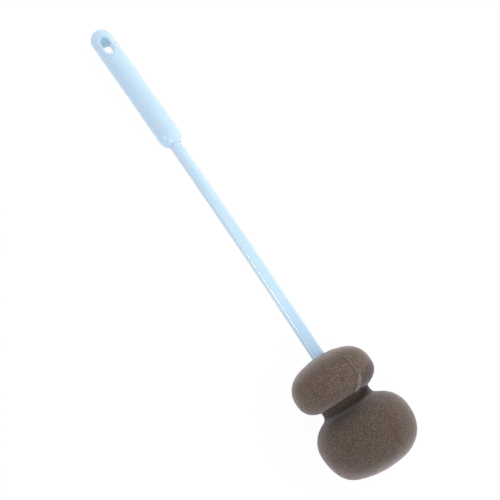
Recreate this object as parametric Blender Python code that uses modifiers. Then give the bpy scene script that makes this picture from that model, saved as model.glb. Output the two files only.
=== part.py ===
"""Cup brush: a foam head on the barbed end of a moulded rod, whose round end sits in a grip.

Metres, +Z up. The brush lies on the plane z = 0, with the grip towards -X and the head towards
+X. Its pieces hang on one empty, brush_axis, whose own Z axis runs along the tool from the domed
end of the grip to the far end of the head. A height below is a distance along that axis. The
empty's own X axis points down to the floor, and its Y axis is the world's.
"""

import math

import bpy
from mathutils import Vector

# All pieces
FIT_GAP = 0.0003
CUT_OVERRUN = 0.002
MERGE_DISTANCE = 0.00001
TURNED_STEPS = 48
SHARP_ANGLE = math.radians(30)

# Grip: a round bar, domed at its free end, with a rounded shoulder where the rod goes in
GRIP_LENGTH = 0.0995
GRIP_RADIUS = 0.0077
GRIP_LIP = 0.0003
SOCKET_DEPTH = 0.045
DOME_STEPS = 10

# Hanging slot through the grip, with a rounded rim
SLOT_FROM_END = 0.0090
SLOT_LENGTH = 0.0136
SLOT_WIDTH = 0.0058
SLOT_RIM = 0.0016
SLOT_RIM_ANGLE = math.radians(60)
SLOT_RIM_STEPS = 3
SLOT_END_STEPS = 8

# Rod: round at the grip, a flat bar with chamfered edges at the head
ROD_BARE_LENGTH = 0.1677
ROD_DIAMETER = 0.0081
ROD_ROUND_LENGTH = 0.020
ROD_BLEND_LENGTH = 0.050
ROD_BLEND_STEPS = 5
ROD_WIDTH = 0.0079
ROD_THICKNESS = 0.0060
ROD_CHAMFER = 0.0015
ROD_LEAD_IN = 0.0010
ROD_SIDE_STEPS = 4

# Barbed end of the rod, inside the foam
ANCHOR_LENGTH = 0.066
ANCHOR_TIP_LENGTH = 0.005
ANCHOR_TIP_SHARE = 0.6
BARB_COUNT = 4
BARB_START = 0.010
BARB_PITCH = 0.013
BARB_PROUD = 0.0010
BARB_RAMP = 0.0070
BARB_BACK = 0.0008

# Foam head: a small lobe, a neck and a large lobe, each side of a lobe a superellipse
SMALL_LOBE_RADIUS = 0.0266
SMALL_LOBE_TOP = 0.0166
SMALL_LOBE_UNDER = 0.0144
SMALL_TOP_SQUARENESS = 2.36
SMALL_UNDER_SQUARENESS = 2.8
NECK_RADIUS = 0.0164
NECK_LENGTH = 0.0052
LARGE_LOBE_RADIUS = 0.0304
LARGE_LOBE_SHOULDER = 0.0202
LARGE_LOBE_NOSE = 0.0243
LARGE_SHOULDER_SQUARENESS = 2.32
LARGE_NOSE_SQUARENESS = 2.37
LOBE_STEPS = 9

# Resting on the floor
REST_FLAT_DEPTH = 0.0005
LEAN_LIMIT = math.radians(45)
LEAN_PRECISION = math.radians(0.00001)

# Worked out from the sizes above
SOCKET_RADIUS = ROD_DIAMETER / 2 + FIT_GAP
HEAD_START = GRIP_LENGTH + ROD_BARE_LENGTH
BORE_DEPTH = ANCHOR_LENGTH + FIT_GAP
BORE_WIDTH = ROD_WIDTH + 2 * (BARB_PROUD + FIT_GAP)
BORE_THICKNESS = ROD_THICKNESS + 2 * FIT_GAP

GRIP_BLUE = (0.58, 0.76, 0.90)
ROD_BLUE = (0.58, 0.78, 0.93)
FOAM_BROWN = (0.13, 0.105, 0.085)


def clear_scene():
    """Remove every object of the scene that the script opens in."""
    for obj in list(bpy.data.objects):
        bpy.data.objects.remove(obj, do_unlink=True)


def make_collection(name):
    """Return a new collection, linked to the scene."""
    collection = bpy.data.collections.new(name)
    bpy.context.scene.collection.children.link(collection)
    return collection


def make_material(name, color, roughness):
    """Return a Principled material of one colour."""
    material = bpy.data.materials.new(name)
    material.use_nodes = True
    shader = material.node_tree.nodes["Principled BSDF"]
    shader.inputs["Base Color"].default_value = (*color, 1)
    shader.inputs["Roughness"].default_value = roughness
    material.diffuse_color = (*color, 1)
    return material


def mesh_object(name, points, edges, faces, collection, parent):
    """Return a new object with the mesh given, hung on the parent."""
    mesh = bpy.data.meshes.new(name)
    mesh.from_pydata(points, edges, faces)
    obj = bpy.data.objects.new(name, mesh)
    collection.objects.link(obj)
    obj.parent = parent
    return obj


def as_cutter(obj):
    """Mark an object as a tool that only cuts."""
    obj.hide_render = True
    obj.display_type = "WIRE"
    return obj


def cut(obj, cutter, name):
    """Take the cutter's shape out of the object."""
    boolean = obj.modifiers.new(name, "BOOLEAN")
    boolean.operation = "DIFFERENCE"
    boolean.solver = "EXACT"
    boolean.object = cutter


def turned(name, outline, collection, parent):
    """Turn an outline of (radius, height) points about the parent's Z axis.

    The outline runs down the piece's outer side, from its highest point to its lowest.
    """
    points = [(radius, 0, height) for radius, height in outline]
    edges = [(i, i + 1) for i in range(len(points) - 1)]
    obj = mesh_object(name, points, edges, [], collection, parent)
    screw = obj.modifiers.new("turn", "SCREW")
    screw.steps = TURNED_STEPS
    screw.render_steps = TURNED_STEPS
    screw.use_merge_vertices = True
    screw.merge_threshold = MERGE_DISTANCE
    screw.use_smooth_shade = True
    return obj


def loft(name, rings, collection, parent):
    """Join rings of as many points each into one closed body, with a flat face at each end.

    Each ring runs anticlockwise, seen from the side that the rings go towards.
    """
    count = len(rings[0])
    points = [point for ring in rings for point in ring]
    faces = [tuple(reversed(range(count)))]
    for start in range(0, count * (len(rings) - 1), count):
        for i in range(count):
            j = (i + 1) % count
            faces.append((start + i, start + j, start + count + j, start + count + i))
    faces.append(tuple(range(len(points) - count, len(points))))
    return mesh_object(name, points, [], faces, collection, parent)


def block(name, center, size, collection, parent):
    """Return a box of the size given, centred where it says."""
    bpy.ops.mesh.primitive_cube_add(size=1)
    obj = bpy.context.active_object
    obj.name = name
    for point in obj.data.vertices:
        point.co = Vector(center) + point.co * Vector(size)
    for other in list(obj.users_collection):
        other.objects.unlink(obj)
    collection.objects.link(obj)
    obj.parent = parent
    return obj


def superellipse(radius, reach, squareness, smallest_radius=0):
    """Return (radius, distance) points of a quarter superellipse, from its widest point on.

    The quarter ends at the axis, or where it has narrowed to the smallest radius.
    """
    end = math.acos((smallest_radius / radius) ** (squareness / 2))
    power = 2 / squareness
    points = []
    for i in range(LOBE_STEPS + 1):
        angle = end * i / LOBE_STEPS
        points.append((radius * math.cos(angle) ** power, reach * math.sin(angle) ** power))
    if not smallest_radius:
        points[-1] = (0, reach)
    return points


def grip_outline():
    """Outline of the grip, from the socket's bottom round its mouth to the domed end."""
    mouth_radius = SOCKET_RADIUS + GRIP_LIP
    shoulder = math.acos(mouth_radius / GRIP_RADIUS)
    shoulder_center = GRIP_LENGTH - GRIP_RADIUS * math.sin(shoulder)
    outline = [(0, GRIP_LENGTH - SOCKET_DEPTH), (SOCKET_RADIUS, GRIP_LENGTH - SOCKET_DEPTH)]
    outline.append((SOCKET_RADIUS, GRIP_LENGTH))
    for i in range(DOME_STEPS + 1):
        angle = shoulder * (1 - i / DOME_STEPS)
        height = shoulder_center + GRIP_RADIUS * math.sin(angle)
        outline.append((GRIP_RADIUS * math.cos(angle), height))
    for i in range(DOME_STEPS):
        angle = math.pi / 2 * i / DOME_STEPS
        outline.append((GRIP_RADIUS * math.cos(angle), GRIP_RADIUS * (1 - math.sin(angle))))
    outline.append((0, 0))
    return outline


def head_outline():
    """Outline of the foam head, from its far end to the face that the rod enters."""
    small_under = superellipse(SMALL_LOBE_RADIUS, SMALL_LOBE_UNDER, SMALL_UNDER_SQUARENESS, NECK_RADIUS)
    small_top = superellipse(SMALL_LOBE_RADIUS, SMALL_LOBE_TOP, SMALL_TOP_SQUARENESS)
    shoulder = superellipse(LARGE_LOBE_RADIUS, LARGE_LOBE_SHOULDER, LARGE_SHOULDER_SQUARENESS, NECK_RADIUS)
    nose = superellipse(LARGE_LOBE_RADIUS, LARGE_LOBE_NOSE, LARGE_NOSE_SQUARENESS)
    small_height = HEAD_START + SMALL_LOBE_TOP
    large_height = small_height + small_under[-1][1] + NECK_LENGTH + shoulder[-1][1]
    outline = [(radius, large_height + reach) for radius, reach in reversed(nose)]
    outline += [(radius, large_height - reach) for radius, reach in shoulder[1:]]
    outline += [(radius, small_height + reach) for radius, reach in reversed(small_under)]
    outline += [(radius, small_height - reach) for radius, reach in small_top[1:]]
    return outline


def lowest(outline, lean):
    """Lowest point of a turned piece, above the grip's domed end, when its axis leans so much."""
    return min(height * math.sin(lean) - radius * math.cos(lean) for radius, height in outline)


def resting_lean():
    """Lean of the axis at which the grip and the flat on the head both stand on the floor."""
    low, high = 0, LEAN_LIMIT
    while high - low > LEAN_PRECISION:
        lean = (low + high) / 2
        if lowest(head_outline(), lean) + REST_FLAT_DEPTH < lowest(grip_outline(), lean):
            low = lean
        else:
            high = lean
    return lean


def make_axis(collection):
    """The empty that the whole tool hangs on, placed so that the tool rests about the origin."""
    lean = resting_lean()
    ends = []
    for outline in (grip_outline(), head_outline()):
        for radius, height in outline:
            ends.append(height * math.cos(lean) - radius * math.sin(lean))
            ends.append(height * math.cos(lean) + radius * math.sin(lean))
    axis = bpy.data.objects.new("brush_axis", None)
    collection.objects.link(axis)
    axis.rotation_euler = (0, math.pi / 2 - lean, 0)
    axis.location = (-(min(ends) + max(ends)) / 2, 0, -lowest(grip_outline(), lean))
    return axis


def slot_ring(widening, height_at):
    """One ring of the slot's cutter, at the height over the slot's middle that a function gives."""
    radius = SLOT_WIDTH / 2 + widening
    straight = (SLOT_LENGTH - SLOT_WIDTH) / 2
    middle = SLOT_FROM_END + SLOT_LENGTH / 2
    ring = []
    for end in (1, -1):
        for i in range(SLOT_END_STEPS + 1):
            angle = math.pi * i / SLOT_END_STEPS
            across = end * radius * math.cos(angle)
            along = end * (straight + radius * math.sin(angle))
            ring.append(Vector((height_at(across), across, middle + along)))
    return ring


def slot_cutter(collection, parent):
    """A prism with round ends, which flares where it leaves the grip on either side.

    The rings of the flare follow the grip's round surface, and the outermost ones are flat.
    """
    def draped_ring(side, angle):
        def height_at(across):
            return side * (math.sqrt(GRIP_RADIUS ** 2 - across ** 2) - SLOT_RIM * (1 - math.sin(angle)))
        return slot_ring(SLOT_RIM * (1 - math.cos(angle)), height_at)

    def outer_ring(side):
        rise = SLOT_RIM * (1 - math.sin(SLOT_RIM_ANGLE)) + CUT_OVERRUN
        widening = SLOT_RIM * (1 - math.cos(SLOT_RIM_ANGLE)) + rise * math.tan(SLOT_RIM_ANGLE)
        return slot_ring(widening, lambda across: side * (GRIP_RADIUS + CUT_OVERRUN))

    angles = [SLOT_RIM_ANGLE * i / SLOT_RIM_STEPS for i in range(SLOT_RIM_STEPS + 1)]
    rings = [outer_ring(-1)]
    rings += [draped_ring(-1, angle) for angle in reversed(angles)]
    rings += [draped_ring(1, angle) for angle in angles]
    rings.append(outer_ring(1))
    return as_cutter(loft("slot_cutter", rings, collection, parent))


def make_grip(pieces, cutters, axis):
    """The grip, with its socket and its hanging slot."""
    grip = turned("grip", grip_outline(), pieces, axis)
    cut(grip, slot_cutter(cutters, axis), "hanging slot")
    grip.data.materials.append(make_material("grip plastic", GRIP_BLUE, 0.4))
    return grip


def bar_ring(height, width, thickness, chamfer, roundness=0, diameter=0):
    """One ring of the rod: a chamfered bar's outline, mixed with a circle's by the roundness."""
    x, y = thickness / 2, width / 2
    corners = [(x, y - chamfer), (x - chamfer, y), (chamfer - x, y), (-x, y - chamfer)]
    corners += [(-a, -b) for a, b in corners]
    corners = [Vector(corner) for corner in corners]
    ring = []
    for i, start in enumerate(corners):
        end = corners[(i + 1) % len(corners)]
        turn = end.angle_signed(start)
        first = math.atan2(start.y, start.x)
        for step in range(ROD_SIDE_STEPS):
            share = step / ROD_SIDE_STEPS
            flat = start.lerp(end, share)
            angle = first + turn * share
            circle = Vector((math.cos(angle), math.sin(angle))) * diameter / 2
            ring.append(flat.lerp(circle, roundness).to_3d() + Vector((0, 0, height)))
    return ring


def rod_rings():
    """Rings of the rod, from its tang in the socket to its tip in the foam."""
    def round_ring(height, diameter=ROD_DIAMETER, roundness=1):
        return bar_ring(height, ROD_WIDTH, ROD_THICKNESS, ROD_CHAMFER, roundness, diameter)

    def flat_ring(depth, proud=0):
        return bar_ring(HEAD_START + depth, ROD_WIDTH + 2 * proud, ROD_THICKNESS, ROD_CHAMFER)

    tang = GRIP_LENGTH - SOCKET_DEPTH + FIT_GAP
    rings = [round_ring(tang, ROD_DIAMETER - 2 * ROD_LEAD_IN), round_ring(tang + ROD_LEAD_IN)]
    for i in range(ROD_BLEND_STEPS + 1):
        share = i / ROD_BLEND_STEPS
        flatness = share * share * (3 - 2 * share)
        height = GRIP_LENGTH + ROD_ROUND_LENGTH + ROD_BLEND_LENGTH * share
        rings.append(round_ring(height, roundness=1 - flatness))
    for i in range(BARB_COUNT):
        back = BARB_START + BARB_PITCH * i
        rings.append(flat_ring(back))
        rings.append(flat_ring(back + BARB_BACK, BARB_PROUD))
        rings.append(flat_ring(back + BARB_BACK + BARB_RAMP))
    rings.append(flat_ring(ANCHOR_LENGTH - ANCHOR_TIP_LENGTH))
    rings.append(bar_ring(HEAD_START + ANCHOR_LENGTH, ROD_WIDTH * ANCHOR_TIP_SHARE,
                          ROD_THICKNESS * ANCHOR_TIP_SHARE, ROD_CHAMFER * ANCHOR_TIP_SHARE))
    return rings


def make_rod(pieces, axis):
    """The rod, with its tang at the grip and its barbs at the head."""
    rod = loft("rod", rod_rings(), pieces, axis)
    rod.data.shade_smooth()
    rod.data.set_sharp_from_angle(angle=SHARP_ANGLE)
    rod.data.materials.append(make_material("rod plastic", ROD_BLUE, 0.35))
    return rod


def make_head(pieces, cutters, axis):
    """The foam head, with its slit bore and the flat that it rests on, its origin on the axis."""
    head = turned("sponge_head", head_outline(), pieces, axis)
    bore_length = BORE_DEPTH + CUT_OVERRUN
    bore_center = HEAD_START + BORE_DEPTH - bore_length / 2
    bore_size = (BORE_THICKNESS, BORE_WIDTH, bore_length)
    bore = block("bore_cutter", (0, 0, bore_center), bore_size, cutters, axis)
    cut(head, as_cutter(bore), "slit bore")
    floor_size = 2 * (HEAD_START + SMALL_LOBE_TOP + LARGE_LOBE_RADIUS)
    floor = block("floor_cutter", (0, 0, -LARGE_LOBE_RADIUS),
                  (floor_size, 2 * LARGE_LOBE_RADIUS, 2 * LARGE_LOBE_RADIUS), cutters, None)
    cut(head, as_cutter(floor), "resting flat")
    head.data.materials.append(make_material("abrasive foam", FOAM_BROWN, 0.95))
    return head


def main():
    """Build the brush."""
    clear_scene()
    pieces = make_collection("cup_brush")
    cutters = make_collection("cutters")
    axis = make_axis(pieces)
    make_grip(pieces, cutters, axis)
    make_rod(pieces, axis)
    make_head(pieces, cutters, axis)


main()
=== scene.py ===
# Looks of the cup brush, in metres. A piece is made in the tool's own space, whose Z axis runs
# from the domed end of the grip to the far end of the foam, whose X axis points down to the
# floor and whose Y axis is the world's, and is then laid down where the CAD model rests.

import math

import bmesh
import bpy
from mathutils import Matrix, Quaternion, Vector, noise


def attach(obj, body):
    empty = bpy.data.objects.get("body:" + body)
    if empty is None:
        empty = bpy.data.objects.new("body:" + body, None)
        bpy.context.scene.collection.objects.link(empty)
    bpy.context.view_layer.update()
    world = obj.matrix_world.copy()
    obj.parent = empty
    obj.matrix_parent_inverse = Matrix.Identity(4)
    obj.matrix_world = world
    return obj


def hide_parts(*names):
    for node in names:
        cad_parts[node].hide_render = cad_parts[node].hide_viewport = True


# Where the tool lies
AXIS_START = Vector((-0.171756, 0, 0.007133))
AXIS_LEAN = math.radians(4.07543)

# The tool's slight bow sideways, a parabola about the middle, and a small sway of the rod
BOW = 0.0721
GRIP_BOW = 0.0665
BOW_MIDDLE = 0.172
BOW_SHIFT = 0.001
SWAY = 0.00016
SWAY_MIDDLE = 0.195
SWAY_REACH = 0.035

# Places this close are taken as the same, and points this close are merged
TOUCH = 1e-5
MERGE = 1e-6

# Grip
GRIP_LENGTH = 0.0995
GRIP_RADIUS = 0.00785
SOCKET_RADIUS = 0.00416
SOCKET_DEPTH = 0.0445
LIP_FILLET = 0.0014
LIP_REACH = 0.0007
SLOT_FROM_END = 0.0090
SLOT_LENGTH = 0.0136
SLOT_WIDTH = 0.0058
SLOT_RIM = 0.0014
SLOT_END = SLOT_FROM_END + SLOT_LENGTH
SLOT_MIDDLE = SLOT_FROM_END + SLOT_LENGTH / 2
END_REACH = 0.0003
GRIP_SHARP = math.radians(40)

# How the grip is cut up into faces: rings on its shoulder as shares of the shoulder's arc, along
# its straight part and on its dome, and the slot's corners drawn in towards a round end
GRIP_SIDES = 16
GRIP_CUTS = 7
SHOULDER_RINGS = (0.9, 0.7, 0.5, 0.25, 0)
BAR_RINGS = (0.084, 0.074, 0.064, 0.054, 0.044, 0.036, 0.029)
SLOT_END_RING = 0.0027
DOME_RINGS = (math.radians(60), math.radians(30))
SLOT_CORNER_SHARE = 0.72
SLOT_CORNER_SHIFT = 0.00085

# Where the grip's material shows painted light on the slot's walls and painted shade on the flanks
SLOT_WALL_REACH = 0.0062
SLOT_WALL_SPARE = 0.0005
SLOT_WALL_FADE = 0.0006
GRIP_FLANK = (0.50, 0.90)
GRIP_FLANK_END = (0.05, 0.5)

# Rod
ROD_DIAMETER = 0.0083
ROD_BARE_LENGTH = 0.1677
ROD_WIDTH = 0.0081
ROD_THICKNESS = 0.0060
ROD_CHAMFER = 0.0015
ROD_EDGE = 0.00045
ROD_ROUND_LENGTH = 0.020
ROD_BLEND_LENGTH = 0.050
ROD_ROLL = math.radians(-7)
ROD_LEAD_IN = 0.0010
ROD_SHARP = math.radians(25)
TANG_GAP = 0.0003
ANCHOR_LENGTH = 0.066
ANCHOR_TIP_LENGTH = 0.005
ANCHOR_TIP_SHARE = 0.6
BARB_COUNT = 4
BARB_START = 0.010
BARB_PITCH = 0.013
BARB_PROUD = 0.0010
BARB_RAMP = 0.0070
BARB_BACK = 0.0008

# How the rod is cut up into faces, and where its material shows painted shade on the flanks and towards
# the end near the foam
BAR_CORNERS = 8
ROD_SIDES = 4 * BAR_CORNERS
BLEND_STEP = 0.004
BARE_STEPS = 8
ROD_FLANK = (0.70, 0.92)
FOAM_END_REACH = 0.050

# Foam head: each lobe leans a little its own way, and the lean changes over the neck
HEAD_START = GRIP_LENGTH + ROD_BARE_LENGTH
SMALL_LOBE_RADIUS = 0.0266
SMALL_LOBE_TOP = 0.0166
SMALL_LOBE_UNDER = 0.0144
SMALL_TOP_SQUARENESS = 2.36
SMALL_UNDER_SQUARENESS = 2.8
NECK_RADIUS = 0.0164
NECK_LENGTH = 0.0052
NECK_ROUNDING = 0.0031
LARGE_LOBE_RADIUS = 0.0304
LARGE_LOBE_SHOULDER = 0.0202
LARGE_LOBE_NOSE = 0.0243
LARGE_SHOULDER_SQUARENESS = 2.32
LARGE_NOSE_SQUARENESS = 2.37
LOBE_STEPS = 24
HEAD_SIDES = 128
HEAD_OFFSET = -0.0009
SMALL_LOBE_LEAN = 0.0283
LARGE_LOBE_LEAN = 0.0435
LEAN_CHANGE = 0.006
FOAM_CELL = 0.00042

# Slit bore in the foam: its mouth hugs the rod on one side
BORE_DEPTH = 0.0663
BORE_WIDTH = 0.0103
BORE_THICKNESS = 0.0066
BORE_SPARE = 1e-4
MOUTH_DEPTH = 0.0080
MOUTH_TIGHT = 0.00427
MOUTH_LOOSE = 0.00560
MOUTH_HALF_WIDTH = 0.0049
MOUTH_MIDDLE = 0.0007
CUTTER_PAST_FACE = 0.005
CUTTER_OVERLAP = 0.001

# The edge of the mouth is drawn in by the rod, in a low swell
MOUTH_EDGE_DEPTH = 0.0015
MOUTH_WORKED_DEPTH = 0.006
MOUTH_SWELL = 0.0003
MOUTH_SWELL_AWAY = 0.0030
MOUTH_SWELL_REACH = 0.0018
MOUTH_SINK = 0.0007
MOUTH_SINK_REACH = 0.0009

# Glued seam along the foam, by distance from the head's start: its course in degrees from the top, and
# the strengths of its groove, sunk and darkened with painted shade, of its pale ridge and of the brown
# streak along it. The seam starts between two radii, so that it isn't drawn in the bore
SEAM_COURSE = [(0.000, 15), (0.005, 17.5), (0.008, 22), (0.0114, 24), (0.0156, 24.6),
               (0.0186, 25.4), (0.0227, 26), (0.029, 26), (0.044, 26), (0.048, 24), (0.059, 20),
               (0.065, 21), (0.0705, 27), (0.082, 30)]
SEAM_GROOVE = [(0.000, 0), (0.003, 0.15), (0.008, 0.25), (0.0095, 0.8), (0.0114, 0.9), (0.0135, 0.5),
               (0.0150, 0.9), (0.0190, 0.7), (0.0215, 0.7), (0.0225, 1.0), (0.0238, 0.8), (0.0250, 0),
               (0.042, 0), (0.048, 0.10), (0.057, 0.12), (0.060, 0.35), (0.070, 0.35), (0.074, 0)]
SEAM_RIDGE = [(0.009, 0), (0.0114, 0.2), (0.0140, 0.5), (0.0152, 1.0), (0.0180, 0.9), (0.0195, 0.5),
              (0.0222, 0.4), (0.0232, 0)]
SEAM_STREAK = [(0.042, 0), (0.048, 0.5), (0.057, 0.55), (0.061, 1), (0.069, 1), (0.075, 0)]
SEAM_RADII = (0.005, 0.010)
SEAM_WOBBLE = 0.0005
SEAM_WOBBLE_SIZE = 0.004
SEAM_ASIDE = 0.0004
GROOVE_REACH = 0.0005
RIDGE_REACH = 0.00035
STREAK_REACH = 0.0026

# A crease that leaves the seam near the mouth, darkened with the groove's painted shade: its course in
# degrees, the distances at which it starts, is full, fades and ends, and its strength
CREASE_COURSE = [(0.0035, 21), (0.0050, 24.5), (0.0066, 26.5), (0.0095, 30)]
CREASE_DISTANCES = (0.0030, 0.0045, 0.0085, 0.0100)
CREASE_REACH = 0.0006
CREASE_STRENGTH = 0.45

# The rubbed patch where the seam meets the neck: its middle in degrees, its width, the distances
# at which it starts, is full, fades and ends, and the shares of its width that its edge fades over
PATCH_MIDDLE = [(0.0210, 27.5), (0.0250, 26.5), (0.0273, 25.4), (0.0300, 22.5)]
PATCH_WIDTH = [(0.0210, 0.0008), (0.0230, 0.0013), (0.0250, 0.0018), (0.0300, 0.0024)]
PATCH_DISTANCES = (0.0215, 0.0235, 0.0293, 0.0305)
PATCH_EDGE = (0.4, 1.2)
PATCH_WOBBLE = 1.3

# Grooves beside the patch, darkened with painted shade: (strength, patch widths aside, metres aside,
# reach, where it fades and ends)
PATCH_GROOVES = [(0.5, 1.15, 0, 0.0004, 0.0240, 0.0270), (0.25, 1, 0.0013, 0.0012, 0.0305, 0.0320),
                 (0.3, -1.3, 0, 0.0003, 0.0305, 0.0320)]

# Painted shade in the neck under the small lobe, running on over the large lobe's shoulder where the
# small lobe shades it: (distance from the head's start, strength), in a shape that bends towards the
# mouth on both sides of its middle
NECK_SHADE = [(0.0283, 0), (0.0305, 0.48), (0.0330, 0.68), (0.0345, 0.86), (0.0360, 1), (0.0375, 1),
              (0.0392, 0.53), (0.0413, 0.30), (0.0435, 0.13), (0.0470, 0)]
NECK_SHADE_SHIFT = 0.0003
NECK_SHADE_BEND = 11
NECK_SHADE_MIDDLE = -0.0095

# Where the small lobe's colour ends, where the painted light on its crown fades, and where a trace of
# that painted light comes back on its lower rim, each between two distances from the head's start
SMALL_LOBE_END = (0.027, 0.031)
CROWN_FADE = (0.0015, 0.0095)
LOWER_RIM = (0.0220, 0.0290)
LOWER_RIM_SHARE = 0.1

# Painted shade round the mouth, tinted green as by light bounced off the blue rod: how deep and how far
# from the slit it fades
DARK_MOUTH_DEPTH = (0.0018, 0.0036)
DARK_MOUTH_REACH = (0.0100, 0.0145)
DARK_MOUTH_MIDDLE = 0.0015
DARK_MOUTH_NARROWING = 1.8

# Unevenness of the foam: (size, rise), and how far the seam's marks rise or sink
FOAM_LUMPS = [(0.0009, 0.00010), (0.0005, 0.00006), (0.014, 0.00035)]
RIDGE_RISE = 0.0003
GROOVE_SINK = 0.0005
PATCH_RISE = 0.0002

# Where the foam swells or sinks: (distance from the head's start, degrees from the top, radius,
# reach, rise)
DENTS = [(0.0700, -92, 0.0250, 0.0085, 0.0009), (0.0768, -90, 0.0140, 0.0055, -0.0005),
         (0.0480, -90, 0.0285, 0.0080, 0.0004), (0.0760, 90, 0.0180, 0.0060, -0.0002),
         (0.0050, 90, 0.0200, 0.0060, 0.0002)]

# Colours of the plastic, with painted shade for the flanks and near the foam, and painted light for the
# slot's walls
GRIP_BLUE = (0.618, 0.795, 0.995)
GRIP_DEEP_BLUE = (0.598, 0.780, 0.988)
# Painted shade for the grip's sideways-facing flanks
GRIP_FLANK_PAINTED_SHADE = (0.60, 0.772, 0.955)
ROD_BLUE = (0.615, 0.802, 0.995)
ROD_DEEP_BLUE = (0.598, 0.788, 0.988)
# Painted shade for the rod's sideways-facing flanks
ROD_FLANK_PAINTED_SHADE = (0.62, 0.770, 0.920)
# Painted light that lifts the slot's walls
SLOT_WALL_PAINTED_LIGHT = (0.72, 0.90, 1.0)
# Painted shade on the rod towards the foam head, which shades it
FOAM_END_PAINTED_SHADE = (0.49, 0.66, 0.85)

# Colours of the foam
FOAM_BROWN = (0.108, 0.077, 0.059)
FOAM_GREY_BROWN = (0.106, 0.077, 0.066)
SMALL_LOBE_BROWN = (0.148, 0.103, 0.081)
# Painted light on the small lobe's crown and lower rim
CROWN_PAINTED_LIGHT = (0.220, 0.190, 0.165)
DARK_GRIT = (0.042, 0.029, 0.023)
PALE_GRIT = (0.280, 0.215, 0.170)
HOLLOW_BROWN = (0.060, 0.043, 0.035)
PORE_BROWN = (0.050, 0.036, 0.029)
# Multiplied into the neck and the large lobe's shoulder as painted shade
NECK_PAINTED_SHADE_TINT = (0.24, 0.228, 0.228)
# Painted shade round the rod's entry, greenish as by bounce light off the blue rod
MOUTH_PAINTED_SHADE = (0.028, 0.042, 0.038)
STREAK_BROWN = (0.112, 0.068, 0.038)
PATCH_TAN = (0.285, 0.222, 0.168)
RIDGE_TAN = (0.330, 0.250, 0.205)
# Painted shade in the seam's groove, its crease and beside the patch
GROOVE_PAINTED_SHADE = (0.044, 0.031, 0.025)
SHEEN_TINT = (0.90, 0.84, 0.88)

# Floor and room
FLOOR_HALF_WIDTH = 3
FLOOR_GREY = (0.8, 0.8, 0.8)
FLOOR_GLOW = 0.38
FLOOR_PAPER_SHARE = 0.93
ROOM_BRIGHTNESS = 0.75
WHITE = (1, 1, 1)

# Lamps: (name, place, target, size, power, whether it shows in glossy finishes alone)
LAMPS = [("key", (0.20, 0.97, 0.95), (0, 0, 0), (1.7, 1.7), 9.3, False),
         ("counter lamp", (1.10, 0.10, 0.60), (0, 0, 0), (0.7, 0.7), 0.4, False),
         ("side lamp", (-0.135, -0.80, 0.65), (0, 0, 0.02), (0.25, 0.24), 9, True),
         ("far lamp", (0.82, -0.19, 0.47), (-0.08, 0, 0.015), (0.14, 0.14), 9, True)]

# Camera
CAMERA_PLACE = Vector((0.08937, -0.06213, 0.51751))
CAMERA_AIM = Vector((0.01493, 0.00242, 0.0207))
CAMERA_ROLL = math.radians(7.793)
CAMERA_LENS = 57.24
CAMERA_SENSOR = 36


# Curves that the shapes and marks are drawn by

def between(course, distance):
    """Value of a course of (distance, value) pairs at a distance."""
    for (start, low), (end, high) in zip(course, course[1:]):
        if distance <= end:
            share = min(max((distance - start) / (end - start), 0), 1)
            return low + (high - low) * share
    return course[-1][1]


def hump(distance, width):
    """1 at no distance, falling off smoothly over a width."""
    return math.exp(-(distance / width) ** 2)


def ramp(value, start, end):
    """0 before the start, 1 after the end, and smooth between them."""
    share = min(max((value - start) / (end - start), 0), 1)
    return share * share * (3 - 2 * share)


def stretch(value, start, full, fade, end):
    """0 outside the start and the end, 1 from full to fade, and smooth between them."""
    return ramp(value, start, full) * (1 - ramp(value, fade, end))


# Making pieces

def add_object(name, data):
    """An object with this data, in the scene."""
    obj = bpy.data.objects.new(name, data)
    bpy.context.scene.collection.objects.link(obj)
    return obj


def to_object(bm, name, material=None, sharp=None):
    """Turn a bmesh into a smooth piece, still in the tool's space, creased past a sharp angle."""
    bmesh.ops.remove_doubles(bm, verts=bm.verts, dist=MERGE)
    bmesh.ops.recalc_face_normals(bm, faces=bm.faces)
    mesh = bpy.data.meshes.new(name)
    bm.to_mesh(mesh)
    bm.free()
    if material:
        mesh.materials.append(material)
    mesh.shade_smooth()
    if sharp:
        mesh.set_sharp_from_angle(angle=sharp)
    return add_object(name, mesh)


def turned(outline, sides):
    """A bmesh with the outline of (radius, height) points turned once about the Z axis."""
    bm = bmesh.new()
    points = [bm.verts.new((radius, 0, height)) for radius, height in outline]
    edges = [bm.edges.new(pair) for pair in zip(points, points[1:])]
    bmesh.ops.spin(bm, geom=points + edges, cent=(0, 0, 0), axis=(0, 0, 1), dvec=(0, 0, 0),
                   angle=2 * math.pi, steps=sides, use_merge=True)
    bmesh.ops.remove_doubles(bm, verts=bm.verts, dist=MERGE)
    bmesh.ops.recalc_face_normals(bm, faces=bm.faces)
    return bm


def mark(mesh, name, values):
    """Store a value for each vertex, for a material to draw by."""
    mesh.attributes.new(name, "FLOAT", "POINT").data.foreach_set("value", values)


def lay_down(obj):
    """Bow a piece, lay it down where the tool rests, and keep it above the floor."""
    for vert in obj.data.vertices:
        bow = GRIP_BOW if vert.co.z < BOW_MIDDLE else BOW
        vert.co.y += BOW_SHIFT - bow * (vert.co.z - BOW_MIDDLE) ** 2
        vert.co.y += SWAY * hump(vert.co.z - SWAY_MIDDLE, SWAY_REACH)
    turn = Matrix.Rotation(math.pi / 2 - AXIS_LEAN, 4, "Y")
    obj.data.transform(Matrix.Translation(AXIS_START) @ turn)
    for vert in obj.data.vertices:
        vert.co.z = max(vert.co.z, 0)
    obj.data.update()


# Grip

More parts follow.
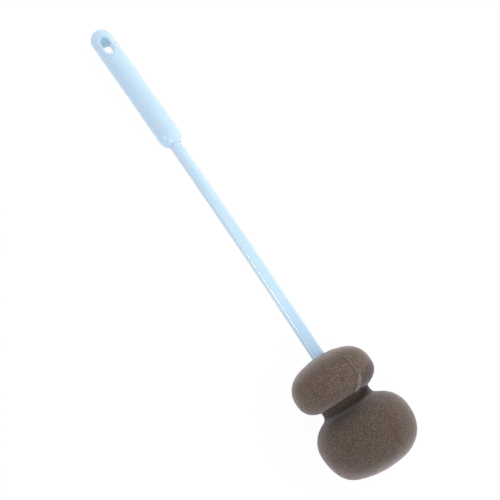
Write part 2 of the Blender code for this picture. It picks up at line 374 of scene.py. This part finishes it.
def grip_outline():
    """Outline of the grip, from the bottom of its socket out over the lip to the domed end."""
    shoulder = math.acos(SOCKET_RADIUS / GRIP_RADIUS)
    center = GRIP_LENGTH - GRIP_RADIUS * math.sin(shoulder)
    outline = [(0, GRIP_LENGTH - SOCKET_DEPTH), (SOCKET_RADIUS, GRIP_LENGTH - SOCKET_DEPTH),
               (SOCKET_RADIUS, GRIP_LENGTH - SOCKET_DEPTH / 2), (SOCKET_RADIUS, GRIP_LENGTH + LIP_REACH)]
    for share in SHOULDER_RINGS:
        angle = shoulder * share
        outline.append((GRIP_RADIUS * math.cos(angle), center + GRIP_RADIUS * math.sin(angle)))
    for height in (*BAR_RINGS, SLOT_END, SLOT_END - SLOT_END_RING, SLOT_MIDDLE,
                   SLOT_FROM_END + SLOT_END_RING, SLOT_FROM_END, GRIP_RADIUS):
        outline.append((GRIP_RADIUS, height))
    for angle in DOME_RINGS:
        outline.append((GRIP_RADIUS * math.sin(angle), GRIP_RADIUS * (1 - math.cos(angle))))
    return outline + [(0, 0)]


def cut_slot(bm):
    """Take the faces at the slot out of both sides of the grip, and wall and round the opening."""
    half = GRIP_RADIUS * math.sin(2 * math.pi / GRIP_SIDES) + TOUCH
    for vert in bm.verts:
        at_end = min(abs(vert.co.z - SLOT_FROM_END), abs(vert.co.z - SLOT_END)) < TOUCH
        if at_end and abs(vert.co.x) > SOCKET_RADIUS and TOUCH < abs(vert.co.y) < half:
            vert.co.y *= SLOT_CORNER_SHARE
            vert.co.z += SLOT_CORNER_SHIFT if vert.co.z < SLOT_MIDDLE else -SLOT_CORNER_SHIFT
    doomed = []
    for face in bm.faces:
        middle = face.calc_center_median()
        on_side = abs(middle.x) > SOCKET_RADIUS and abs(middle.y) < half
        if on_side and SLOT_FROM_END < middle.z < SLOT_END:
            doomed.append(face)
    bmesh.ops.delete(bm, geom=doomed, context="FACES")
    rim = [edge for edge in bm.edges if edge.is_boundary]
    bmesh.ops.bridge_loops(bm, edges=rim)
    rim = [edge for edge in rim if edge.is_valid]
    bmesh.ops.bevel(bm, geom=rim, offset=SLOT_RIM, offset_type="OFFSET", segments=2, profile=0.5,
                    affect="EDGES", material=-1)


def grip_skin(point):
    """Distance of a point outside the grip's skin, with its lip, slot and rounded rim."""
    shoulder = GRIP_LENGTH - math.sqrt(GRIP_RADIUS ** 2 - SOCKET_RADIUS ** 2)
    nearest = Vector((0, 0, min(max(point.z, GRIP_RADIUS), shoulder)))
    bar = (point - nearest).length - GRIP_RADIUS
    if point.z > GRIP_LENGTH / 2:
        lip = point.xy.length - SOCKET_RADIUS
        fillet = math.hypot(max(LIP_FILLET - bar, 0), max(LIP_FILLET - lip, 0))
        return max(LIP_FILLET, min(bar, lip)) - fillet
    straight = (SLOT_LENGTH - SLOT_WIDTH) / 2
    past_straight = max(abs(point.z - SLOT_MIDDLE) - straight, 0)
    wall = SLOT_WIDTH / 2 - math.hypot(point.y, past_straight)
    corner = math.hypot(max(bar + SLOT_RIM, 0), max(wall + SLOT_RIM, 0))
    return min(max(bar, wall), -SLOT_RIM) + corner


def settle(vert, skin, rounds=4):
    """Move a vertex straight out or in until it lies on the skin."""
    step = 1e-5
    least_slope = 1e-3
    for _ in range(rounds):
        here = skin(vert.co)
        slope = Vector([(skin(vert.co + Vector(axis) * step) - here) / step
                        for axis in ((1, 0, 0), (0, 1, 0), (0, 0, 1))])
        if slope.length < least_slope:
            return
        vert.co -= slope * here / slope.length_squared


def slot_wall(spot):
    """Painted light on the slot's walls: 1 there, fading over the rim to 0 on the rest of the grip."""
    beside = SLOT_FROM_END - SLOT_WALL_SPARE < spot.z < SLOT_END + SLOT_WALL_SPARE
    if beside and abs(spot.x) < SLOT_WALL_REACH:
        return 1 - ramp(abs(spot.y), SLOT_WIDTH / 2, SLOT_WIDTH / 2 + SLOT_WALL_FADE)
    return 0


def make_grip(material):
    """The grip: a turned bar with a slot cut through, its faces settled on a smooth skin."""
    bm = turned(grip_outline(), GRIP_SIDES)
    cut_slot(bm)
    bmesh.ops.subdivide_edges(bm, edges=bm.edges[:], cuts=GRIP_CUTS, use_grid_fill=True)
    socket_floor = GRIP_LENGTH - SOCKET_DEPTH
    for vert in bm.verts:
        in_socket = vert.co.z > socket_floor - TOUCH and vert.co.xy.length < SOCKET_RADIUS + TOUCH
        if not in_socket:
            settle(vert, grip_skin)
        elif vert.co.z > socket_floor + TOUCH:
            vert.co.xy = vert.co.xy.normalized() * SOCKET_RADIUS
        vert.co.z -= END_REACH * max(1 - vert.co.z / GRIP_RADIUS, 0)
    grip = to_object(bm, "grip_moulding", material, GRIP_SHARP)
    mesh = grip.data
    # Painted light on the slot's walls
    slot_wall_painted_light = [slot_wall(vert.co) for vert in mesh.vertices]
    # Painted shade on the flanks, where the normals turn sideways, but not on the slot's walls
    flank_painted_shade = []
    for normal, wall in zip([n.vector for n in mesh.vertex_normals], slot_wall_painted_light):
        sideways = 1 - ramp(abs(normal.x), *GRIP_FLANK)
        flank_painted_shade.append(sideways * (1 - ramp(abs(normal.z), *GRIP_FLANK_END)) * (1 - wall))
    mark(mesh, "flank_painted_shade", flank_painted_shade)
    mark(mesh, "slot_wall_painted_light", slot_wall_painted_light)
    lay_down(grip)
    return grip


# Rod

def bar_corner(number, width, thickness, chamfer):
    """One of the eight corners of a chamfered bar, counted round from the floor side."""
    x, y = thickness / 2, width / 2
    corners = [(x, y - chamfer), (x - chamfer, y), (chamfer - x, y), (-x, y - chamfer)]
    corners += [(-a, -b) for a, b in corners]
    return Vector(corners[number % BAR_CORNERS])


def shape_ring(verts, height, width=ROD_WIDTH, thickness=ROD_THICKNESS, chamfer=ROD_CHAMFER,
               roundness=0, diameter=0):
    """Move a ring's vertices to the bar's outline at a height, mixed with a circle's."""
    per_side = len(verts) // BAR_CORNERS
    for i, vert in enumerate(verts):
        start = bar_corner(i // per_side, width, thickness, chamfer)
        end = bar_corner(i // per_side + 1, width, thickness, chamfer)
        share = (i % per_side) / per_side
        flat = start.lerp(end, share)
        angle = math.atan2(start.y, start.x) + end.angle_signed(start) * share
        circle = Vector((math.cos(angle), math.sin(angle))) * diameter / 2
        vert.co = flat.lerp(circle, roundness).to_3d() + Vector((0, 0, height))


def rod_stations():
    """Stations along the rod: height, and what shape_ring needs there."""
    tang = GRIP_LENGTH - SOCKET_DEPTH + TANG_GAP
    stations = [(tang, {"roundness": 1, "diameter": ROD_DIAMETER - 2 * ROD_LEAD_IN}),
                (tang + ROD_LEAD_IN, {"roundness": 1, "diameter": ROD_DIAMETER})]
    steps = round(ROD_BLEND_LENGTH / BLEND_STEP)
    for i in range(steps + 1):
        share = i / steps
        height = GRIP_LENGTH + ROD_ROUND_LENGTH + ROD_BLEND_LENGTH * share
        stations.append((height, {"roundness": 1 - ramp(share, 0, 1), "diameter": ROD_DIAMETER}))
    for i in range(1, BARE_STEPS):
        stations.append((height + (HEAD_START - height) * i / BARE_STEPS, {}))
    for i in range(BARB_COUNT):
        back = HEAD_START + BARB_START + BARB_PITCH * i
        stations.append((back, {}))
        stations.append((back + BARB_BACK, {"width": ROD_WIDTH + 2 * BARB_PROUD}))
        stations.append((back + BARB_BACK + BARB_RAMP, {}))
    stations.append((HEAD_START + ANCHOR_LENGTH - ANCHOR_TIP_LENGTH, {}))
    stations.append((HEAD_START + ANCHOR_LENGTH, {
        "width": ROD_WIDTH * ANCHOR_TIP_SHARE, "thickness": ROD_THICKNESS * ANCHOR_TIP_SHARE,
        "chamfer": ROD_CHAMFER * ANCHOR_TIP_SHARE}))
    return stations


def make_rod(material):
    """The rod: a ring drawn out from station to station, its long edges rounded."""
    bm = bmesh.new()
    ring = bmesh.ops.create_circle(bm, cap_ends=True, segments=ROD_SIDES,
                                   radius=ROD_DIAMETER / 2)["verts"]
    stations = rod_stations()
    shape_ring(ring, stations[0][0], **stations[0][1])
    long_edges = []
    for height, size in stations[1:]:
        edges = [bm.edges.get((a, b)) for a, b in zip(ring, ring[1:] + ring[:1])]
        drawn = bmesh.ops.extrude_edge_only(bm, edges=edges)["geom"]
        fresh = {v for v in drawn if isinstance(v, bmesh.types.BMVert)}
        following = []
        for number, vert in enumerate(ring):
            for edge in vert.link_edges:
                other = edge.other_vert(vert)
                if other in fresh:
                    following.append(other)
                    if number % (ROD_SIDES // BAR_CORNERS) == 0:
                        long_edges.append(edge)
        ring = following
        shape_ring(ring, height, **size)
    bm.faces.new(ring)
    bmesh.ops.bevel(bm, geom=long_edges, offset=ROD_EDGE, offset_type="OFFSET", segments=4,
                    profile=0.5, affect="EDGES", material=-1)
    rod = to_object(bm, "rod_moulding", material, ROD_SHARP)
    mesh = rod.data
    # Painted shade on the rod's flanks
    mark(mesh, "flank_painted_shade", [1 - ramp(abs(n.vector.x), *ROD_FLANK) for n in mesh.vertex_normals])
    # Painted shade towards the foam head
    mark(mesh, "foam_end_painted_shade", [ramp(v.co.z, HEAD_START - FOAM_END_REACH, HEAD_START)
                            for v in mesh.vertices])
    mesh.transform(Matrix.Rotation(ROD_ROLL, 4, "Z"))
    lay_down(rod)
    return rod


# Foam head

def superellipse(radius, reach, squareness, smallest_radius=0):
    """(radius, distance) points of a quarter superellipse, from its widest point on."""
    end = math.acos((smallest_radius / radius) ** (squareness / 2))
    power = 2 / squareness
    points = []
    for i in range(LOBE_STEPS + 1):
        angle = end * i / LOBE_STEPS
        points.append((radius * math.cos(angle) ** power, reach * math.sin(angle) ** power))
    if not smallest_radius:
        points[-1] = (0, reach)
    return points


def rounded(before, corner, after, reach):
    """Points that round a corner of an outline off, starting and ending so far from it."""
    start = corner + (before - corner).normalized() * reach
    end = corner + (after - corner).normalized() * reach
    return [start.lerp(corner, t).lerp(corner.lerp(end, t), t) for t in (0, 0.25, 0.5, 0.75, 1)]


def head_outline():
    """Outline of the foam head, from its far end to the face that the rod enters."""
    small_under = superellipse(SMALL_LOBE_RADIUS, SMALL_LOBE_UNDER, SMALL_UNDER_SQUARENESS, NECK_RADIUS)
    small_top = superellipse(SMALL_LOBE_RADIUS, SMALL_LOBE_TOP, SMALL_TOP_SQUARENESS)
    shoulder = superellipse(LARGE_LOBE_RADIUS, LARGE_LOBE_SHOULDER, LARGE_SHOULDER_SQUARENESS, NECK_RADIUS)
    nose = superellipse(LARGE_LOBE_RADIUS, LARGE_LOBE_NOSE, LARGE_NOSE_SQUARENESS)
    small_height = HEAD_START + SMALL_LOBE_TOP
    neck_start = small_height + small_under[-1][1]
    neck_end = neck_start + NECK_LENGTH
    large_height = neck_end + shoulder[-1][1]

    # The shoulder's last points make way for the neck's rounding
    outline = [(radius, large_height + reach) for radius, reach in reversed(nose)]
    outline += [(radius, large_height - reach) for radius, reach in shoulder[1:-2]]
    corner = Vector((NECK_RADIUS, neck_end))
    outline += rounded(Vector(outline[-1]), corner, Vector((NECK_RADIUS, neck_start)), NECK_ROUNDING)
    outline += [(radius, small_height + reach) for radius, reach in reversed(small_under)]
    outline += [(radius, small_height - reach) for radius, reach in small_top[1:]]
    return outline


def slit(name, near, far, left, right):
    """A cutter for a stretch of the bore, from the near height to the far one."""
    bm = bmesh.new()
    bmesh.ops.create_cube(bm, size=1)
    bmesh.ops.scale(bm, verts=bm.verts, vec=(BORE_THICKNESS, left + right, far - near))
    bmesh.ops.translate(bm, verts=bm.verts, vec=(0, (right - left) / 2, (near + far) / 2))
    bmesh.ops.rotate(bm, verts=bm.verts, cent=(0, 0, 0), matrix=Matrix.Rotation(ROD_ROLL, 3, "Z"))
    return to_object(bm, name)


def make_foam(material):
    """The foam head: two turned lobes with a slit bore, drawn in small cells and worked over."""
    bm = turned(head_outline(), HEAD_SIDES)
    neck = HEAD_START + SMALL_LOBE_TOP + SMALL_LOBE_UNDER
    for vert in bm.verts:
        share = ramp(vert.co.z, neck - LEAN_CHANGE, neck + LEAN_CHANGE)
        vert.co.z += vert.co.y * (SMALL_LOBE_LEAN + (LARGE_LOBE_LEAN - SMALL_LOBE_LEAN) * share)
        vert.co.y += HEAD_OFFSET
    raw = to_object(bm, "foam_raw")
    mouth_end = HEAD_START + MOUTH_DEPTH
    cutters = [slit("mouth", HEAD_START - CUTTER_PAST_FACE, mouth_end, MOUTH_TIGHT, MOUTH_LOOSE),
               slit("bore", mouth_end - CUTTER_OVERLAP, HEAD_START + BORE_DEPTH,
                    BORE_WIDTH / 2, BORE_WIDTH / 2)]
    for cutter in cutters:
        cut = raw.modifiers.new(cutter.name, "BOOLEAN")
        cut.operation = "DIFFERENCE"
        cut.solver = "EXACT"
        cut.object = cutter
    cells = raw.modifiers.new("cells", "REMESH")
    cells.mode = "VOXEL"
    cells.voxel_size = FOAM_CELL
    bpy.context.view_layer.update()
    mesh = bpy.data.meshes.new_from_object(raw.evaluated_get(bpy.context.evaluated_depsgraph_get()))
    mesh.name = "foam_head"
    foam = add_object("foam_head", mesh)
    for obj in [raw] + cutters:
        bpy.data.objects.remove(obj, do_unlink=True)
    mesh.materials.append(material)
    work_foam(mesh)
    mesh.shade_smooth()
    lay_down(foam)
    return foam


def seam_marks(spot, depth):
    """Strengths of the glued seam's groove, ridge, rubbed patch and streak at a spot."""
    radius = math.hypot(spot.x, spot.y - HEAD_OFFSET)
    angle = math.degrees(math.atan2(spot.y - HEAD_OFFSET, -spot.x))
    wobble = SEAM_WOBBLE * noise.noise(spot / SEAM_WOBBLE_SIZE)

    def away(course):
        return math.radians(angle - between(course, depth)) * radius

    aside = away(SEAM_COURSE) + wobble
    near_surface = ramp(radius, *SEAM_RADII)
    groove = between(SEAM_GROOVE, depth) * hump(aside + SEAM_ASIDE, GROOVE_REACH) * near_surface
    ridge = between(SEAM_RIDGE, depth) * hump(aside - SEAM_ASIDE, RIDGE_REACH) * near_surface
    streak = between(SEAM_STREAK, depth) * hump(aside, STREAK_REACH)
    crease = stretch(depth, *CREASE_DISTANCES) * hump(away(CREASE_COURSE) + wobble, CREASE_REACH)
    groove = max(groove, CREASE_STRENGTH * crease)

    from_middle = away(PATCH_MIDDLE) + PATCH_WOBBLE * wobble
    width = between(PATCH_WIDTH, depth)
    in_patch = stretch(depth, *PATCH_DISTANCES)
    patch = in_patch * (1 - ramp(abs(from_middle), width * PATCH_EDGE[0], width * PATCH_EDGE[1]))
    for strength, widths, more, reach, fade, end in PATCH_GROOVES:
        line = strength * in_patch * hump(from_middle + width * widths + more, reach)
        groove = max(groove, line * (1 - ramp(depth, fade, end)))
    return {"groove": groove, "ridge": ridge, "patch": patch, "streak": streak}


def from_slit(flat, middle, narrowing=1):
    """Distance from the mouth's slit, counted for more sideways where it is narrowed."""
    sideways = max(abs(flat.y - middle) - MOUTH_HALF_WIDTH, 0)
    return math.hypot(max(abs(flat.x) - BORE_THICKNESS / 2, 0), narrowing * sideways)


def shade_marks(spot, flat, depth):
    """Strengths: painted shade of neck and mouth, painted light on the crown, the small lobe's colour."""
    bend = NECK_SHADE_BEND * (spot.y - NECK_SHADE_MIDDLE) ** 2
    # Painted shade in the neck and on the large lobe's shoulder
    neck = between(NECK_SHADE, depth - NECK_SHADE_SHIFT + bend)
    small = 1 - ramp(depth, *SMALL_LOBE_END)
    # Painted shade round the mouth
    away = from_slit(flat, DARK_MOUTH_MIDDLE, DARK_MOUTH_NARROWING)
    mouth = (1 - ramp(depth, *DARK_MOUTH_DEPTH)) * (1 - ramp(away, *DARK_MOUTH_REACH))
    # Painted light: the crown that faces the grip and, faintly, the lower rim
    crown_painted_light = max(1 - ramp(depth, *CROWN_FADE), LOWER_RIM_SHARE * ramp(depth, *LOWER_RIM) * small)
    return {"neck": neck, "small": small, "mouth": mouth, "crown_painted_light": crown_painted_light}


def work_foam(mesh):
    """Give the foam its uneven grain, its seam, its swells and the edge of its mouth."""
    dents = []
    for distance, degrees, radius, reach, rise in DENTS:
        turn = math.radians(degrees)
        middle = Vector((-radius * math.cos(turn), HEAD_OFFSET + radius * math.sin(turn),
                         HEAD_START + distance))
        dents.append((middle, reach, rise))
    marks = {}
    moves = []
    to_slit = Matrix.Rotation(-ROD_ROLL, 3, "Z")
    for vert in mesh.vertices:
        spot = vert.co
        flat = to_slit @ spot
        depth = spot.z - HEAD_START
        here = seam_marks(spot, depth) | shade_marks(spot, flat, depth)
        for name, value in here.items():
            marks.setdefault(name, []).append(value)

        # The bore's walls stay flat
        in_thickness = abs(flat.x) < BORE_THICKNESS / 2 + BORE_SPARE
        in_width = -BORE_WIDTH / 2 - BORE_SPARE < flat.y < MOUTH_LOOSE + BORE_SPARE
        if in_thickness and in_width and depth > MOUTH_EDGE_DEPTH:
            moves.append(0)
            continue

        lumps = sum(rise * noise.noise(spot / size) for size, rise in FOAM_LUMPS)
        seam = RIDGE_RISE * here["ridge"] - GROOVE_SINK * here["groove"] + PATCH_RISE * here["patch"]
        swells = sum(rise * hump((spot - middle).length, reach) for middle, reach, rise in dents)
        mouth = 0
        if depth < MOUTH_WORKED_DEPTH:
            away = from_slit(flat, MOUTH_MIDDLE)
            mouth = MOUTH_SWELL * hump(away - MOUTH_SWELL_AWAY, MOUTH_SWELL_REACH)
            mouth -= MOUTH_SINK * hump(away, MOUTH_SINK_REACH)
        moves.append(lumps + seam + swells + mouth)
    for vert, normal, move in zip(mesh.vertices, [n.vector.copy() for n in mesh.vertex_normals], moves):
        vert.co += normal * move
    for name, values in marks.items():
        mark(mesh, name, values)


# Materials

def feed(socket, value):
    """Set a shader input to a value, or link another node's output to it."""
    if isinstance(value, bpy.types.NodeSocket):
        socket.id_data.links.new(value, socket)
    elif socket.type == "RGBA":
        socket.default_value = (*value, 1)
    else:
        socket.default_value = value


def add_node(tree, kind, **inputs):
    """A new shader node with these inputs."""
    node = tree.nodes.new(kind)
    for name, value in inputs.items():
        feed(node.inputs[name.replace("_", " ")], value)
    return node


def new_material(name, **inputs):
    """A new material whose shader has these inputs, with its node tree and the shader."""
    material = bpy.data.materials.new(name)
    material.use_nodes = True
    shader = material.node_tree.nodes["Principled BSDF"]
    for socket, value in inputs.items():
        feed(shader.inputs[socket.replace("_", " ")], value)
    return material, material.node_tree, shader


def blended(tree, factor, under, over, way="MIX"):
    """One colour with another over it, as far as the factor says."""
    mix = tree.nodes.new("ShaderNodeMix")
    mix.data_type = "RGBA"
    mix.blend_type = way
    for number, value in ((0, factor), (6, under), (7, over)):
        feed(mix.inputs[number], value)
    return mix.outputs[2]


def computed(tree, operation, one, other):
    """Two values worked together, as by MULTIPLY or MAXIMUM."""
    node = tree.nodes.new("ShaderNodeMath")
    node.operation = operation
    feed(node.inputs[0], one)
    feed(node.inputs[1], other)
    return node.outputs[0]


def spread(tree, value, low, high, new_low=0, new_high=1):
    """A value stretched from one range to another."""
    node = add_node(tree, "ShaderNodeMapRange", Value=value)
    for number, limit in enumerate((low, high, new_low, new_high), 1):
        node.inputs[number].default_value = limit
    return node.outputs[0]


def drawn_mark(tree, name, most=1):
    """A mark stored on the piece, as a share of a colour."""
    node = add_node(tree, "ShaderNodeAttribute")
    node.attribute_name = name
    return spread(tree, node.outputs["Fac"], 0, 1, 0, most)


def clouded(tree, place, scale, detail, **inputs):
    """A noise pattern on the piece's own place."""
    node = add_node(tree, "ShaderNodeTexNoise", Vector=place, Scale=scale, Detail=detail, **inputs)
    return node.outputs["Fac"]


def moulded_plastic(name, color, deep, flank_painted_shade, roughness, gloss):
    """Moulded plastic: faint clouds and flow lines, painted shade on the flanks and near the foam, painted
    light on the slot's walls, and a fine satin grain.
    """
    material, tree, shader = new_material(
        name, IOR=1.5, Specular_IOR_Level=gloss, Subsurface_Weight=0.4, Subsurface_Scale=0.001,
        Subsurface_Radius=(0.9, 0.95, 1.0))
    place = add_node(tree, "ShaderNodeTexCoord").outputs["Object"]
    clouds = clouded(tree, place, 95, 3)
    lengthwise = add_node(tree, "ShaderNodeMapping", Vector=place, Scale=(14, 420, 420))
    flow = clouded(tree, lengthwise.outputs["Vector"], 1, 2)
    grain = clouded(tree, place, 2400, 2)
    tint = blended(tree, spread(tree, clouds, 0.3, 0.7), deep, color)
    tint = blended(tree, spread(tree, flow, 0.35, 0.7, 0, 0.25), tint, deep)
    for mark_name, mark_color in (("flank_painted_shade", flank_painted_shade), ("slot_wall_painted_light", SLOT_WALL_PAINTED_LIGHT),
                                  ("foam_end_painted_shade", FOAM_END_PAINTED_SHADE)):
        tint = blended(tree, drawn_mark(tree, mark_name), tint, mark_color)
    satin = spread(tree, clouds, 0.3, 0.7, roughness + 0.02, roughness - 0.02)
    bump = add_node(tree, "ShaderNodeBump", Height=grain, Strength=0.15, Distance=0.000008)
    feed(shader.inputs["Base Color"], tint)
    feed(shader.inputs["Roughness"], satin)
    feed(shader.inputs["Normal"], bump.outputs["Normal"])
    return material


def abrasive_foam(name):
    """Open foam with grit: fine pores and pale grains, a glued seam, a rubbed patch and a streak."""
    material, tree, shader = new_material(
        name, Roughness=0.95, Specular_IOR_Level=0.05, Sheen_Weight=0.75, Sheen_Roughness=0.4,
        Sheen_Tint=SHEEN_TINT)
    place = add_node(tree, "ShaderNodeTexCoord").outputs["Object"]
    clouds = clouded(tree, place, 75, 2)
    grain = clouded(tree, place, 2000, 2, Roughness=0.7)
    fine = clouded(tree, place, 800, 1)
    pores = add_node(tree, "ShaderNodeTexVoronoi", Vector=place, Scale=1600).outputs["Distance"]

    # Ground colour, then the small lobe's, then painted light on its crown and lower rim
    tint = blended(tree, spread(tree, clouds, 0.35, 0.65), FOAM_BROWN, FOAM_GREY_BROWN)
    small = drawn_mark(tree, "small")
    tint = blended(tree, small, tint, SMALL_LOBE_BROWN)
    tint = blended(tree, drawn_mark(tree, "crown_painted_light", 0.70), tint, CROWN_PAINTED_LIGHT)

    # Grit, hollows and pores, with more contrast on the small lobe
    contrast = spread(tree, small, 0, 1, 0.74, 0.95)
    dark = computed(tree, "MULTIPLY", contrast, spread(tree, grain, 0.38, 0.50, 1, 0))
    pale = computed(tree, "MULTIPLY", contrast, spread(tree, grain, 0.53, 0.63, 0, 1))
    tint = blended(tree, dark, tint, DARK_GRIT)
    tint = blended(tree, pale, tint, PALE_GRIT)
    tint = blended(tree, spread(tree, fine, 0.35, 0.5, 0.15, 0), tint, HOLLOW_BROWN)
    tint = blended(tree, spread(tree, pores, 0.12, 0.3, 0.5, 0), tint, PORE_BROWN)

    # Painted shade in the neck, then the marks that show through the grit: painted shade round the mouth
    # and in the seam's groove, and the seam's streak, patch and ridge
    tint = blended(tree, drawn_mark(tree, "neck"), tint, NECK_PAINTED_SHADE_TINT, "MULTIPLY")
    speckle = spread(tree, grain, 0.38, 0.58, 0.55, 1)
    for mark_name, color, most in (("mouth", MOUTH_PAINTED_SHADE, 0.95), ("streak", STREAK_BROWN, 0.75),
                                   ("patch", PATCH_TAN, 0.85), ("ridge", RIDGE_TAN, 0.8),
                                   ("groove", GROOVE_PAINTED_SHADE, 0.9)):
        share = computed(tree, "MULTIPLY", speckle, drawn_mark(tree, mark_name, most))
        tint = blended(tree, share, tint, color)
    feed(shader.inputs["Base Color"], tint)

    rough = add_node(tree, "ShaderNodeBump", Height=pores, Strength=0.5, Distance=0.00015)
    rough = add_node(tree, "ShaderNodeBump", Height=grain, Strength=0.5, Distance=0.0002,
                     Normal=rough.outputs["Normal"])
    feed(shader.inputs["Normal"], rough.outputs["Normal"])
    return material


# Floor, lights and camera

def make_floor():
    """A light table: pale, lit a little from below, and white to the camera but for a faint shadow."""
    bm = bmesh.new()
    bmesh.ops.create_grid(bm, x_segments=1, y_segments=1, size=FLOOR_HALF_WIDTH)
    mesh = bpy.data.meshes.new("floor")
    bm.to_mesh(mesh)
    bm.free()
    floor = add_object("floor", mesh)
    material, tree, shader = new_material(
        "floor", Base_Color=FLOOR_GREY, Roughness=1, Specular_IOR_Level=0, Emission_Color=WHITE,
        Emission_Strength=FLOOR_GLOW)
    path = add_node(tree, "ShaderNodeLightPath")
    seen = computed(tree, "MAXIMUM", path.outputs["Is Camera Ray"], path.outputs["Is Glossy Ray"])
    paper = add_node(tree, "ShaderNodeEmission", Strength=1)
    share = computed(tree, "MULTIPLY", seen, FLOOR_PAPER_SHARE)
    lift = add_node(tree, "ShaderNodeMixShader", Fac=share)
    feed(lift.inputs[1], shader.outputs[0])
    feed(lift.inputs[2], paper.outputs[0])
    feed(tree.nodes["Material Output"].inputs["Surface"], lift.outputs[0])
    mesh.materials.append(material)


def area_light(name, place, target, size, power, gloss_only):
    """A soft light at a place, turned to a target, which may show in glossy finishes alone."""
    light = bpy.data.lights.new(name, "AREA")
    light.shape = "RECTANGLE"
    light.size, light.size_y = size
    light.energy = power
    lamp = add_object(name, light)
    lamp.location = place
    lamp.rotation_euler = (Vector(target) - Vector(place)).to_track_quat("-Z", "Y").to_euler()
    lamp.visible_diffuse = not gloss_only


def make_lights():
    """A pale room that is white to the camera, and the lamps."""
    world = bpy.data.worlds.new("studio")
    bpy.context.scene.world = world
    world.use_nodes = True
    tree = world.node_tree
    room = tree.nodes["Background"]
    feed(room.inputs["Color"], WHITE)
    feed(room.inputs["Strength"], ROOM_BRIGHTNESS)
    white = add_node(tree, "ShaderNodeBackground", Color=WHITE, Strength=1)
    path = add_node(tree, "ShaderNodeLightPath")
    mix = add_node(tree, "ShaderNodeMixShader", Fac=path.outputs["Is Camera Ray"])
    feed(mix.inputs[1], room.outputs[0])
    feed(mix.inputs[2], white.outputs[0])
    feed(tree.nodes["World Output"].inputs["Surface"], mix.outputs[0])
    for lamp in LAMPS:
        area_light(*lamp)


def make_camera():
    """The camera above the brush, turned so that the brush lies slantwise across the picture."""
    data = bpy.data.cameras.new("camera")
    data.lens = CAMERA_LENS
    data.sensor_width = CAMERA_SENSOR
    camera = add_object("camera", data)
    camera.location = CAMERA_PLACE
    look = (CAMERA_AIM - CAMERA_PLACE).to_track_quat("-Z", "Y")
    camera.rotation_euler = (look @ Quaternion((0, 0, 1), CAMERA_ROLL)).to_euler()
    bpy.context.scene.camera = camera


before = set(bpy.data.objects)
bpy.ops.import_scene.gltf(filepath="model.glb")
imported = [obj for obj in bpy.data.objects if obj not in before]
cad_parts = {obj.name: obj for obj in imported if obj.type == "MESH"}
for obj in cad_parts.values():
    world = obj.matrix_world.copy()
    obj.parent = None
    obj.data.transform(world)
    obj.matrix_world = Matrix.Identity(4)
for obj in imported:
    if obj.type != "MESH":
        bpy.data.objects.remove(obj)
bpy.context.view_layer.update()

make_camera()
make_floor()
make_lights()
bpy.context.scene.view_settings.view_transform = "Standard"

grip_plastic = moulded_plastic("light blue grip plastic", GRIP_BLUE, GRIP_DEEP_BLUE, GRIP_FLANK_PAINTED_SHADE,
                               roughness=0.22, gloss=0.15)
rod_plastic = moulded_plastic("light blue rod plastic", ROD_BLUE, ROD_DEEP_BLUE, ROD_FLANK_PAINTED_SHADE,
                              roughness=0.22, gloss=0.5)
foam_brown = abrasive_foam("brown abrasive foam")

grip = make_grip(grip_plastic)
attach(grip, "handle")
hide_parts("grip")

rod = make_rod(rod_plastic)
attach(rod, "handle")
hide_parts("rod")

foam = make_foam(foam_brown)
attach(foam, "head")
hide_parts("sponge_head")
